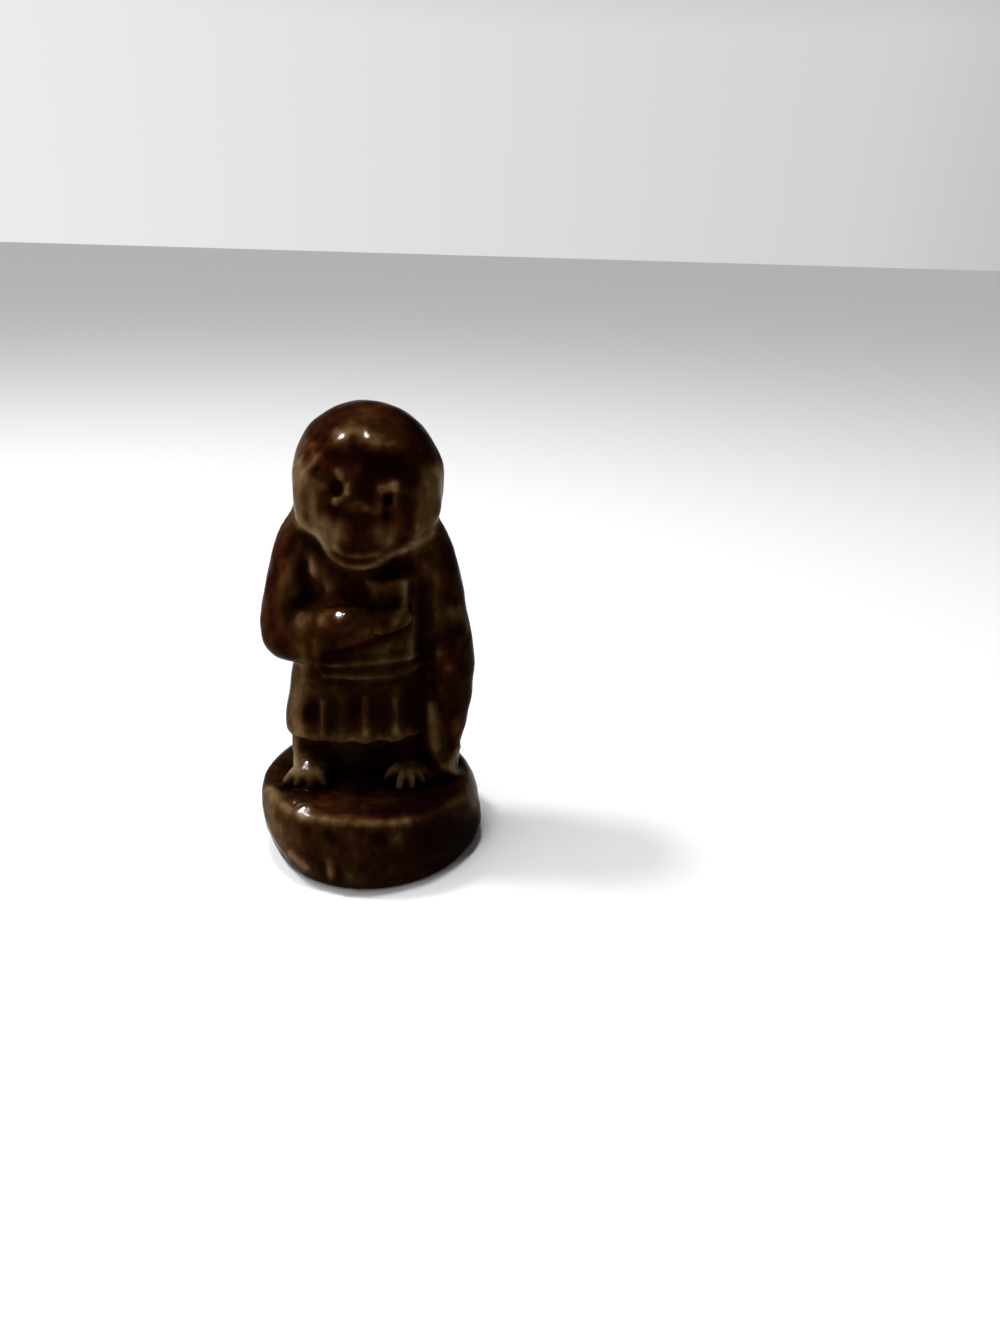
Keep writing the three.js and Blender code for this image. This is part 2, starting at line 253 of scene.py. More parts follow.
# Uneven places on the base's side: angle in degrees, height, spread in degrees and in mm, and lift
BASE_BUMPS = [
    (-10, 2.2, 22, 1.3, 0.3), (-26, 1, 16, 1, 0.35), (-60, 0.8, 24, 1.6, -0.6),
    (175, 7.2, 34, 1.8, -0.2), (205, 2.4, 16, 1.5, -0.1), (14, 7.8, 30, 1.7, -0.55),
    (-102, 2, 18, 2, 0.2), (-62, 4.6, 14, 1.6, 0.08), (95, 4, 30, 2, 0.12),
    (140, 2.6, 22, 1.6, -0.12), (40, 3, 20, 1.8, 0.1), (62, 6, 18, 1.4, -0.08),
    (-140, 4.6, 16, 1.8, 0.06),
]


def bend(a, b, c, count=6):
    """Points on a curve from a to c that is pulled towards b, without a itself."""
    t = np.arange(1, count + 1)[:, None] / count
    return list((1 - t) ** 2 * np.array(a) + 2 * t * (1 - t) * np.array(b) + t * t * np.array(c))


def base_profile():
    """The base's outline from the underside's middle to the top's middle, as (radius, height)."""
    r, h = BASE_RADIUS, BASE_HEIGHT
    foot = (UNDERSIDE_RADIUS, 0)
    belly = (r - 0.1, h * 0.4)
    rim = (r - 0.2, h - RIM_WIDTH)
    points = [(0, 0), foot]
    points += bend(foot, (r - 0.5, 0.3), belly)
    points += bend(belly, (r - 0.05, h * 0.6), rim)
    points += bend(rim, (r - 0.35, h), (r - RIM_WIDTH, h))
    points += [(r - RIM_WIDTH - RIM_SLOPE, h - TOP_DISH), (0, h - TOP_DISH)]
    return np.array(points)


def turned_distance(profile, radius, z):
    """The distance, at points, of a turned solid with a profile of (radius, height)."""
    best = np.full(len(z), 1e9)
    inside = np.zeros(len(z), bool)
    for (r0, z0), (r1, z1) in zip(profile[:-1], profile[1:]):
        line = np.array([r1 - r0, z1 - z0])
        t = np.clip(((radius - r0) * line[0] + (z - z0) * line[1]) / max(line @ line, 1e-9), 0, 1)
        best = np.minimum(best, (radius - r0 - t * line[0]) ** 2 + (z - z0 - t * line[1]) ** 2)
        if z0 != z1:
            crosses = (z0 > z) != (z1 > z)
            inside ^= crosses & (radius < r0 + (z - z0) * line[0] / line[1])
    return np.where(inside, -1, 1) * np.sqrt(best)


def add_base(clay):
    at = np.flatnonzero(clay.z < BASE_HEIGHT + 2.2)
    z = clay.z[at]
    x = clay.x[at] - BASE_LEAN * (1 - 2 * z / BASE_HEIGHT)
    y = clay.y[at]
    angle = np.arctan2(y, x)
    radius = np.hypot(x, y) / (1 + BASE_OVAL * np.cos(2 * (angle - BASE_OVAL_ANGLE)))
    d = turned_distance(base_profile(), radius, z)
    side = smooth((z - 0.3) / 1.2) * smooth((radius - 8.0) / 1.2)
    for where, height, wide, tall, lift in BASE_BUMPS:
        off = np.angle(np.exp(1j * (angle - math.radians(where))))
        d -= lift * side * np.exp(-(off / math.radians(wide)) ** 2 - ((z - height) / tall) ** 2)
    clay.join(at, d, 0.3)


# The robe's section by height: its middle in X, half-width, and reach to front and back
ROBE = [
    (HEM_Z - 1, -1.1, 7, 4.4, 5.2), (HEM_Z + 0.4, -1.1, 7.25, 4.6, 5.5),
    (17, -0.9, 6.95, 4.3, 5.4), (BELT_Z, -0.75, 6.5, 4.2, 5.3),
    (26, -0.3, 6.5, 4.4, 5.7), (SHOULDER_Z - 1.5, 0, 6.2, 4, 5.6),
    (SHOULDER_Z + 1.5, 0, 5.2, 2.9, 5), (SHOULDER_Z + 4, 0, 3.2, 1.6, 3.6),
]
ROBE_POWER = 2.8

# The pleats: the front ones as (place in X, lift), and even folds round the back
FRONT_PLEATS = [(-4.3, 0.35), (-2.4, 0.18), (-0.5, 0.4), (2.2, 0.45)]
PLEAT_HALF_WIDTH = 0.42
BACK_PLEATS = 12
BACK_PLEAT_LIFT = 0.42
PLEATS_START_Z = BELT_Z - 1.3

# The blouse's soft folds behind, above the belt
BLOUSE_FOLD_LIFT = 0.28

# The belt's two cords stand proud where they show and stay under the clay elsewhere
BELT_CORDS = [BELT_Z + 0.75, BELT_Z - 0.45]
BELT_CORD_RADIUS = 0.32
BELT_CORD_HIDDEN = -0.45
BELT_SLOPE = 0.05


def robe_distance(clay, at):
    """The plain robe's distance, and the angle round it, at points."""
    x, y, z = clay.x[at], clay.y[at], clay.z[at]
    middle, half, front, back = values_at(z, ROBE)
    reach = np.where(y < 0, front, back)
    across, deep = (x - middle) / half, y / reach
    wide, far = np.abs(across), np.abs(deep)
    size = np.maximum(wide ** ROBE_POWER + far ** ROBE_POWER, 1e-9) ** (1 / ROBE_POWER)
    slope = np.hypot((wide / size) ** (ROBE_POWER - 1) / half, (far / size) ** (ROBE_POWER - 1) / reach)
    return (size - 1) / np.maximum(slope, 0.05), np.arctan2(deep, across)


def folded(d, x, y, z, angle):
    """The plain robe's distance d, with the pleats and the blouse's folds standing out of it."""
    low = smooth((HEM_Z + 2.5 - z) / 2.5)
    in_front = smooth((-y - 1.2) / 1.5) * smooth((PLEATS_START_Z - z) / 2.0)
    wide = PLEAT_HALF_WIDTH * (1.25 + 1.1 * low)
    for where, lift in FRONT_PLEATS:
        d = d - in_front * lift * np.exp(-((x - where) / wide) ** 2)
    behind = smooth((y - 1.7) / 1.8)
    folds = 0.5 - 0.5 * np.cos(2 * BACK_PLEATS * angle + 1.6 * np.sin(3 * angle))
    d = d - behind * smooth((PLEATS_START_Z - z) / 3.0) * BACK_PLEAT_LIFT * (folds ** 1.5 + 0.25 * low)
    rows = 0.5 + 0.5 * np.sin(4.2 * angle + 0.55 * z + 0.8 * np.sin(1.7 * angle))
    blouse = smooth((z - BELT_Z - 0.8) / 2.0) * smooth((SHOULDER_Z - z) / 4.0)
    return d - behind * blouse * BLOUSE_FOLD_LIFT * rows


def add_robe(clay):
    at = clay.near((-8.6, -5.6, HEM_Z - 0.6), (7.6, 6.2, SHOULDER_Z + 4))
    x, y, z = clay.x[at], clay.y[at], clay.z[at]
    plain, angle = robe_distance(clay, at)
    hem = HEM_Z - z + 0.12 * np.sin(2.6 * x)
    clay.join(at, -soft_min(-folded(plain, x, y, z, angle), -hem, 0.35), 0.3)
    for height in BELT_CORDS:
        band = np.flatnonzero(np.abs(z - height) < 2.2)
        seen = np.maximum(smooth((x[band] + 5.2) / 1.2), smooth((y[band] - 1.0) / 2.0))
        radius = BELT_CORD_RADIUS * seen + BELT_CORD_HIDDEN * (1 - seen)
        cord = np.hypot(plain[band] - 0.08, z[band] - height - BELT_SLOPE * x[band]) - radius
        clay.join(at[band], cord, 0.4)


# The feet: each ankle's place and its toes' tips, in X and Y
FEET = [
    {"ankle": (-6, -1.3), "toes": [(-8.5, -3.4), (-7.4, -3.8), (-6, -4.2), (-4.8, -4)]},
    {"ankle": (3.7, -1.6), "toes": [(1.4, -3.3), (2.6, -5.2), (3.8, -5.1), (4.9, -4.2), (5.8, -3.4)]},
]
INSTEP_Z = BASE_HEIGHT + 0.8
TOE_RADIUS = 0.4


def toe_stops(ankle, tip):
    """A toe's stops, from the instep down to its tip."""
    ankle, tip = np.array(ankle), np.array(tip)
    return [
        (*(ankle + (tip - ankle) * 0.4), INSTEP_Z + 0.4, TOE_RADIUS),
        (*(ankle + (tip - ankle) * 0.75), INSTEP_Z + 0.15, TOE_RADIUS),
        (tip[0], tip[1] + TOE_RADIUS, BASE_HEIGHT + 0.1, TOE_RADIUS * 0.9),
    ]


def add_legs(clay):
    clay.join(*clay.egg((-1.1, 1.6, BASE_HEIGHT + 2.0), (6.0, 2.6, 5.0)), 0.4)
    for foot in FEET:
        x, y = foot["ankle"]
        clay.join(*clay.limb([(x, y + 1.9, BASE_HEIGHT - 1, 1.9), (x, y + 2.2, HEM_Z, 2.0)]), 0.4)
        clay.join(*clay.egg((x, y - 0.4, INSTEP_Z), (1.7, 2.1, 1.2)), 1.0)
        for tip in foot["toes"]:
            clay.join(*clay.limb(toe_stops(foot["ankle"], tip), per_span=3), 0.34)


# The arms: stops as (x, y, z, radius)
BENT_UPPER_ARM = [
    (-4.5, 0.8, 34, 2.25), (-5.85, 0.5, 31.4, 2.6), (-6.65, 0.1, 28.3, 2.65), (-7.3, -0.6, 25.6, 2.65),
    (-7.3, -1.2, 23.8, 2.6),
]
FOREARM = [
    (-7, -1.6, 23.9, 2.5), (-5.2, -3.3, 23.95, 2.45), (-2.9, -4.4, 25.2, 2), (-0.4, -5, 26.1, 1.4),
    (1.3, -5.1, 26.5, 0.95),
]
HANGING_SLEEVE = [
    (4.55, 0.8, 33.2, 2.25), (5.5, 0.6, 31, 2.5), (6.3, 0.3, 28, 2.6), (7, 0, 24.3, 2.55),
    (7.65, -0.3, 20.5, 2.55), (7.75, -0.6, 17, 2.3), (7.35, -0.8, 13.8, 2.1), (7.05, -1, 11, 1.75),
    (7.2, -1.4, 9.2, 1.5),
]
HANGING_HAND = [
    (5.75, -2.9, 16.4, 0.5), (5.9, -3.1, 14.2, 0.95), (6.35, -3.2, 12.2, 1.1), (7.1, -3.1, 10.2, 0.7),
    (7.7, -3, 8.7, 0.35),
]
SLEEVE_FOLD = [(5.4, -2.7, 23.7, 0.35), (7.1, -3.15, 23.6, 0.38), (8.6, -2.3, 23.9, 0.35)]

# The forearm's lumps, as (place in X, half-width), and the fingers below each other
FOREARM_LUMPS = [(-5.9, 0.7), (-4.4, 0.7), (-2.7, 1.2)]
FINGERS = 4
TOP_FINGER_Z = 26.8
FINGER_GAP = 0.45


def add_bent_arm(clay):
    clay.join(*clay.limb(BENT_UPPER_ARM, depth=1.3), 0.35)
    clay.join(*clay.limb(FOREARM), 1.25)
    for x, wide in FOREARM_LUMPS:
        place = (x, -5.45 - 0.35 * (x + 4.4), 26.1 + 0.2 * (x + 5.9))
        clay.join(*clay.egg(place, (wide, 0.72, 0.9)), 0.9)
    for i in range(FINGERS):
        z = TOP_FINGER_Z - FINGER_GAP * i
        finger = [(1.2, -5.8, z - 0.2, 0.25), (2.3, -5.7, z, 0.26), (3.2, -5.1, z + 0.3, 0.25)]
        clay.join(*clay.limb(finger, per_span=3), 0.8)


def add_hanging_arm(clay):
    clay.join(*clay.limb(HANGING_SLEEVE, depth=1.35), 0.6)
    clay.join(*clay.limb(SLEEVE_FOLD, per_span=3), 0.8)
    clay.join(*clay.limb(HANGING_HAND), 0.45)


# The bib, the collar's roll, and the hollows below the chin and beside the bib, as (centre, half-size)
BIB_TOP_Z = 29.8
BIB_RIGHT_X = 3.7
BIB_THICKNESS = 0.32
COLLAR = [(-5.2, -2.0, 32.5, 0.45), (-4.7, -2.8, 30.8, 0.5), (-3.6, -3.8, 28.6, 0.42)]
CHEST_HOLLOWS = [
    ((3.2, -4, 31), (2, 1.3, 0.9)), ((-1.4, -4.4, 28.6), (1.2, 1, 1.5)), ((-5, -4.4, 28.6), (1.4, 1.4, 1.6)),
]


def add_bib_and_collar(clay):
    at = clay.near((-3.4, -5.6, BELT_Z + 0.6), (4.2, -3.0, BIB_TOP_Z))
    d, _ = robe_distance(clay, at)
    x, z = clay.x[at], clay.z[at]
    left = -0.3 - np.clip((27.5 - z) / 1.5, 0, 1) * 2.9
    edge = np.minimum(np.minimum(x - left, BIB_RIGHT_X - x), BIB_TOP_Z - z)
    clay.join(at, -soft_min(-(d - BIB_THICKNESS), edge, 0.6), 0.45)
    clay.join(*clay.limb(COLLAR), 0.9)
    for centre, half in CHEST_HOLLOWS:
        clay.carve(*clay.egg(centre, half), 0.9)


# The head, left and right as the view sees it: eggs as (centre, half-size), limbs as stops
HEAD_Y = -0.7
HEAD_Z = HEAD_TOP_Z - 5.9
CHEEK_Z = 37.2
HAIR = ((0.2, HEAD_Y + 0.1, HEAD_Z), (HEAD_HALF_WIDTH - 0.15, 6.3, 5.9))
CHEEKS = ((0.2, HEAD_Y - 0.2, CHEEK_Z), (HEAD_HALF_WIDTH, 5.7, 4.6))
FACE_OPENING = ((0.1, -8.5, 38.8), (4.2, 3.2, 3))
FACE = ((0.1, HEAD_Y, HEAD_Z), (5.9, 5.7, 5.4))
MUZZLE = ((-0.5, -3.3, 34.7), (3.7, 3.7, 4.1))
NOSE = [(-1.2, -6.2, 36.9, 0.3), (-0.4, -6.45, 37.1, 0.33), (0.9, -6.25, 36.7, 0.3)]
LEFT_EAR = [(-4.55, -3.55, 41.4, 0.3), (-4.5, -4.1, 40.5, 0.34), (-5.5, -3.1, 39.2, 0.36)]
RIGHT_EAR = ((5.8, -0.8, 38.3), (1.1, 1.6, 2.2))
EYES = [((-2.4, -6.1, 38.65), (0.27, 0.28, 0.4)), ((1.95, -5.95, 37.45), (0.18, 0.22, 0.26))]


def add_head(clay):
    head = clay.blank()
    head.join(*head.egg(*HAIR), 0.4)
    head.join(*head.egg(*CHEEKS, 3.0), 0.5)
    head.carve(*head.egg(*FACE_OPENING), 1.4)
    head.join(*head.egg(*FACE), 0.4)
    head.join(*head.egg(*MUZZLE, 2.5), 0.7)
    head.join(*head.limb(NOSE), 0.7)
    head.join(*head.limb(LEFT_EAR), 0.9)
    head.join(*head.egg(*RIGHT_EAR), 0.8)
    for eye in EYES:
        head.carve(*head.egg(*eye), 0.5)
    at = np.flatnonzero(head.d < 3)
    clay.join(at, head.d[at], 1.1)


# Strokes on the picture plane: half-width in picture units, lift in mm, the depth in Y to stay in front
# of, and the path's stops. These shape the clay only
FORM_STROKES = [
    # the fringe and its gaps
    (6, 0.38, -0.5, (318, 447), (348, 445), (376, 446), (404, 452)), (6, 0.26, -0.5, (347, 436)),
    (5.5, 0.2, -0.5, (366, 436), (376, 441)), (4.5, 0.25, -0.5, (396, 444)),
    (3, -0.35, -0.5, (354, 440), (354, 450)), (3, -0.3, -0.5, (386, 440), (385, 453)),
    # the sockets
    (6, -0.6, -2.5, (332, 457), (372, 457), (400, 461)), (7, -0.5, -3, (374, 472), (392, 466), (408, 474)),
    # below the nose, the muzzle's groove, the chest
    (5, -0.5, -4, (352, 517), (370, 520)), (6, -0.35, -4, (360, 527), (359, 546)),
    (6, -0.35, -1.5, (345, 582), (356, 580), (364, 588)), (6, -0.35, -1.5, (354, 598), (368, 602)),
]

# These shape the clay, and thin or thicken the glaze too
STROKES = [
    # the brow, the left eye's lumps, its hole and the pouch below
    (2.8, 0.25, -4, (360, 462), (359, 471)), (4, -0.4, -2.5, (412, 482)),
    (3, 0.8, -4, (338, 472), (341, 477)), (2.7, 0.66, -4, (347.5, 486), (347.5, 493)),
    (2.2, 0.3, -4, (345, 495), (341, 500)), (3, 0.95, -4, (335.5, 501)), (3.4, 0.36, -3.5, (322.5, 487)),
    (3.6, -0.7, -3.5, (335.5, 485), (335.5, 490)), (4.4, -0.4, -3.5, (330, 509), (335, 514)),
    (2.6, -0.12, -3, (321, 470), (323, 505)),
    # the right eye's lumps, bar and holes
    (3.2, 0.72, -4, (380.5, 489)), (3, 0.8, -4, (396, 484), (395.5, 489)),
    (2.6, 0.5, -4, (386, 488), (391, 486)), (2.1, 0.2, -4, (379.5, 494), (379, 509)),
    (3, -0.5, -4, (388, 498)), (3.8, -0.65, -3.5, (387.5, 516)), (2, 0.3, -3.5, (394.5, 499), (395, 506)),
    (4, -0.3, -2.5, (403, 500), (407, 520), (405, 538)),
    # the nose, the groove's edges, the muzzle
    (2.3, 0.22, -4, (353, 508), (358, 505), (366, 507.5)), (2, 0.18, -4, (366, 508), (378, 511)),
    (4.2, 0.24, -4, (343.5, 521), (343, 535)), (4.4, 0.22, -4, (378, 530), (383, 540)),
    (3.6, 0.28, -3.5, (391, 532), (389, 541)),
    # the lips and the jaw's rim
    (1.9, 0.36, -3.5, (335, 548), (346, 555), (366, 556), (379, 553)),
    (2, 0.18, -3.5, (390, 541), (385, 550), (378, 557)),
    (2.2, -0.09, -3.5, (334, 554), (343, 560), (357, 563), (373, 561), (384, 554)),
    (2.2, 0.36, -1.5, (295, 517), (302, 527), (314, 533), (322, 541), (327, 550), (333, 558), (344, 565),
     (358, 568), (371, 566), (382, 560), (392, 554), (406, 548)),
    (2.4, 0.14, -0.2, (406, 548), (420, 542), (434, 533)),
    # soft stripes down the cheeks
    (2.6, -0.25, -1.5, (303, 476), (306, 518)), (2.4, -0.1, -1, (297, 470), (298, 510)),
    (2.2, 0.12, -2.5, (314, 490), (316, 525)), (2.4, 0.16, -2, (417, 515), (416, 545)),
    (2.4, -0.12, -1.5, (410, 495), (411, 530)), (2.6, -0.14, -1.5, (425, 490), (426, 530)),
    # the ear's ridge
    (2.2, 0.36, -1.2, (313, 445), (314, 455)), (2.4, 0.5, -1.2, (320, 455), (304, 474)),
    (3.4, -0.4, -1.2, (314, 469)),
    # the collar, knob and lapel, and the hollows beside the bib
    (3, -0.3, -1, (303, 533), (313, 540), (322, 553)), (4.4, 0.75, -1.5, (312.4, 563), (312.8, 571)),
    (3, 0.25, -1.5, (314, 574), (317, 588)), (3.2, 0.2, -1.5, (326, 574), (327.5, 590)),
    (4.5, -0.4, -0.5, (304, 566), (308, 590)), (5, -0.25, -0.5, (294, 606), (306, 598)),
    (6, -0.2, -1.5, (352, 588), (364, 601)), (4.5, -0.6, -1, (378, 575), (393, 570), (409, 568)),
    # the bib's edges, the hand's shadow, sunk and painted darker, and the strap
    (3, 0.2, -1.5, (369, 583), (375, 601)), (2.4, 0.12, -1.5, (370, 581), (400, 581)),
    (5, -0.3, -1.5, (376, 606), (386, 608)), (2.4, 0.5, -1.5, (406, 582), (404, 608)),
    (2.4, -0.22, -1.5, (409.5, 584), (409, 610)),
    (3.2, 0.38, -1.5, (411.6, 602), (413.8, 628), (410.5, 654)), (4.4, -0.3, -1, (422, 592), (423, 655)),
    # the bent arm: its band, folds, hand and the line under the forearm, sunk and painted darker as its
    # shadow
    (3.4, -0.15, 1.5, (297, 540), (283, 562), (272, 594), (275, 628), (285, 645)),
    (3.8, 0.25, 0.5, (284, 564), (281, 588)), (2.8, 0.15, 0, (301, 543), (296, 560), (291, 576)),
    (3.6, 0.25, -2, (302, 625), (306, 620)), (3.6, 0.25, -2, (321, 624), (324, 618)),
    (2.6, -0.15, -2, (312.5, 618), (312, 632)), (2.6, -0.15, -2, (330, 618), (329, 632)),
    (3, 0.16, -2, (343, 636), (343, 646)), (3, 0.25, -2, (368, 631)),
    (2.6, 0.12, -2, (340, 649), (362, 640), (386, 630), (398, 622)),
    (3.2, -0.22, -2, (329, 657), (350, 649), (373, 640), (398, 627)),
    (4, -0.25, -2, (333, 656), (345, 652)), (2.6, 0.2, -2, (399.5, 611), (400.5, 616)),
    (2.6, 0.2, -2, (394, 624), (398, 620)), (3.2, 0.2, -2, (388, 645)),
    (3, 0.2, -1.5, (302, 650), (306, 664)), (3, 0.2, -1.5, (317, 646), (318, 662)),
    (2.2, -0.12, -1.5, (310, 646), (311, 668)), (2.6, -0.22, -1.5, (325, 652), (325, 668)),
    # the belt's two cords
    (2, 0.24, -1.5, (329, 666), (359, 664), (410, 658)),
    (2, 0.24, -1.5, (330, 672.5), (350, 678), (372, 679), (394, 677)),
    (2, -0.14, -1.5, (328, 670), (368, 670), (406, 664)),
    (2.2, -0.12, -1.5, (330, 683), (366, 684), (402, 680)),
    (2.2, -0.06, -1.5, (345, 659), (378, 655), (406, 651)),
    # the skirt: deep folds, flared ridges, the valley beside the hand
    (4.2, -0.75, -1.5, (311, 708), (309, 717)), (4.2, -0.45, -1.5, (355, 700), (354, 712)),
    (4, -0.15, -1.5, (334, 704), (333, 724)), (4.6, -0.2, -1.5, (380, 700), (381, 726)),
    (7, -0.5, -1, (414, 690), (416, 722)), (1.9, 0.38, -1.5, (322.8, 703), (322.5, 734)),
    (2, 0.08, -1.5, (343, 704), (343, 730)), (1.9, 0.3, -1.5, (364.8, 698), (365, 734)),
    (1.9, 0.36, -1.5, (395.5, 686), (396, 734)), (3.8, 0.2, -1.5, (341, 737)),
    (3.6, 0.2, -1.5, (360, 735), (368, 735)), (4.4, 0.3, -1.5, (396, 731), (400, 735)),
    (2, 0.12, -1, (292, 736), (325, 738), (360, 741), (404, 740)),
    # the hanging arm: crease, bumps, light edges and the hand's edges
    (3.4, -0.32, 0.5, (436, 638), (448, 637), (460, 631)),
    (3, 0.1, 0.5, (434, 629), (448, 627), (461, 621)), (3.2, 0.25, 0, (436, 573), (436, 588)),
    (3.8, 0.18, 0, (437, 604), (438, 624)), (3.2, 0.2, 0.5, (451, 608), (452, 618)),
    (3, 0.2, 1.5, (460, 608), (460, 618)), (3, -0.15, 1.5, (448, 545), (451, 580)),
    (4, -0.18, 0.5, (446, 592), (451, 602)), (4, 0.4, 0, (440, 654)), (4, 0.35, 0, (449, 668)),
    (2, 0.2, 1, (457.5, 640), (457.5, 654)), (2.4, 0.2, -0.5, (428.5, 674), (429, 700)),
    (3.4, -0.3, 0, (423, 655), (422, 690)), (2.4, 0.16, -1, (429, 704), (432, 738), (438, 752), (445, 768)),
    (3.2, -0.2, 0, (448, 716), (448, 748)), (3.2, 0.2, 1, (456, 722), (455, 735)),
    (2, 0.45, 1, (460, 747), (452, 764), (455, 772), (461, 772)),
    # the left leg's edge, a lump by the foot, and the base's rim, nicks and chips
    (2.2, 0.22, 0.5, (293, 742), (294, 770)), (2.8, 0.3, -1, (326, 762), (330, 763)),
    (3.5, 0.3, -1, (268, 790), (283, 805), (303, 816), (337, 822), (367, 824),
     (403, 823), (433, 814), (462, 799)),
    (4, -0.34, -4, (318, 820)), (3, -0.32, -4, (346, 826), (352, 822)), (4, -0.34, -4, (386, 824)),
    (3.4, -0.3, -4, (416, 820), (422, 816)), (3.2, -0.22, -6, (328.5, 836)),
    (3.4, -0.25, -6, (374, 839), (382, 838)), (3, -0.14, -6, (340, 845)), (3.2, -0.14, -6, (362, 834)),
    (3.4, -0.2, -6, (412, 832)), (3, 0.15, -6, (349, 838)), (3.4, 0.15, -6, (397, 836)),
    (3.6, -0.16, -6, (308, 832)), (2.4, 0.36, -6, (329.5, 863), (331, 875)),
    (2.2, 0.26, -6, (344, 867), (348, 876)), (2.4, -0.3, -6, (338, 868), (338, 880)),
    (2.6, -0.2, -6, (323, 866), (324, 876)), (2.4, 0.45, -4, (290, 855), (298, 861), (306, 867)),
    (2.4, 0.16, -4, (283, 846), (290, 853)), (2.6, 0.26, -1, (440, 822), (458, 816), (476, 814)),
    (4, -0.2, -1, (446, 830), (474, 826)),
]

# Rounded places where glaze pooled: place, facing, spread and roundness
GLAZE_DROPS = [
    ((-2.5, -6.75, 27.2), (-0.33, -0.5, 0.8), 0.9, 4.5),
    ((-6.4, -2.4, 10.2), (-0.27, -0.47, 0.84), 0.85, 5),
    ((-6.5, -7.95, 8.33), (-0.27, -0.4, 0.87), 1.15, 8),
    ((-7.35, -6.65, 8.25), (-0.26, -0.45, 0.85), 0.6, 4),
]
DROP_SWELL = 0.06


def add_glaze_drops(clay):
    for place, facing, spread, radius in GLAZE_DROPS:
        place, facing = np.array(place), np.array(facing)
        at = clay.near(place, place, 2.5 * spread)
        dome = np.linalg.norm(clay.p[at] - place + facing * (radius - DROP_SWELL), axis=1) - radius
        weight = np.exp(-((clay.p[at] - place) ** 2).sum(1) / spread ** 2)
        clay.d[at] += weight * (dome - clay.d[at])


WOBBLE_LIFT = 0.035


def wobble(x, y, z):
    """The slow unevenness of pressed clay, from -1.6 to 1.6."""
    slow = np.sin(0.9 * x + 1.3 * z + 0.5) * np.sin(1.1 * y - 0.7 * z)
    quick = 0.6 * np.sin(2.1 * x - 1.7 * y + 0.4) * np.sin(1.9 * z + 1.2 * y)
    return slow + quick


def lump(points):
    """The whole figurine's distance at points, in mm."""
    clay = Clay(points)
    add_base(clay)
    add_legs(clay)
    add_robe(clay)
    add_bib_and_collar(clay)
    add_bent_arm(clay)
    add_hanging_arm(clay)
    add_head(clay)
    for width, lift, front, *path in FORM_STROKES + STROKES:
        clay.stroke(path, width, lift, front)
    add_glaze_drops(clay)
    clay.d -= WOBBLE_LIFT * wobble(clay.x, clay.y, clay.z) * smooth((clay.z - 0.25) / 0.6)
    clay.d = -soft_min(-clay.d, clay.z, 0.05)
    return clay.d


def grid_lines(*spans):
    """Grid lines through (start, stop, spacing) spans that meet end to end."""
    lines = []
    for start, stop, gap in spans:
        count = max(1, round((stop - start) / gap))
        lines += list(start + (stop - start) * np.arange(count) / count)
    return np.array(lines + [spans[-1][1]])


# The skin's grid: finest across the face, hands and feet
XS = grid_lines((-11.8, -8.6, 0.32), (-8.6, -4.6, 0.23), (-4.6, 4.6, 0.19), (4.6, 9, 0.23),
                (9, 11.8, 0.32))
YS = grid_lines((-11.6, -8, 0.3), (-8, -2, 0.2), (-2, 3, 0.28), (3, 11.6, 0.34))
ZS = grid_lines((-0.5, 7.4, 0.36), (7.4, 31, 0.215), (31, 42.6, 0.19), (42.6, 45.4, 0.26))

# A coarse grid finds the places close enough to the surface to be worked out in full
COARSE_GAP = 0.7
CLOSE = 1.15


def grid_distances(xs, ys, zs):
    """The lump's distance on a grid. Places far from the surface keep a coarse value."""
    coarse = [np.arange(axis[0], axis[-1] + COARSE_GAP, COARSE_GAP) for axis in (xs, ys, zs)]
    grid = np.stack(np.meshgrid(*coarse, indexing="ij"), -1).reshape(-1, 3)
    rough = lump(grid).reshape([len(axis) for axis in coarse])
    spots = []
    for axis, line in zip((xs, ys, zs), coarse):
        nearest = np.round((axis - line[0]) / COARSE_GAP).astype(int)
        spots.append(np.clip(nearest, 0, len(line) - 1))
    fine = rough[np.ix_(*spots)]
    close = np.argwhere(np.abs(fine) < CLOSE)
    points = np.stack([xs[close[:, 0]], ys[close[:, 1]], zs[close[:, 2]]], 1)
    fine[tuple(close.T)] = lump(points)
    return fine


def crossings(field, axes, axis):
    """Where the grid's edges along one axis cross the surface: each edge's first corner, and the place."""
    low, high = [slice(None)] * 3, [slice(None)] * 3
    low[axis], high[axis] = slice(None, -1), slice(1, None)
    a, b = field[tuple(low)], field[tuple(high)]
    edge = np.argwhere((a < 0) != (b < 0))
    a, b = a[tuple(edge.T)], b[tuple(edge.T)]
    place = np.stack([axes[k][edge[:, k]] for k in range(3)], 1)
    place[:, axis] += a / (a - b) * (axes[axis][edge[:, axis] + 1] - axes[axis][edge[:, axis]])
    return edge, place, a < 0


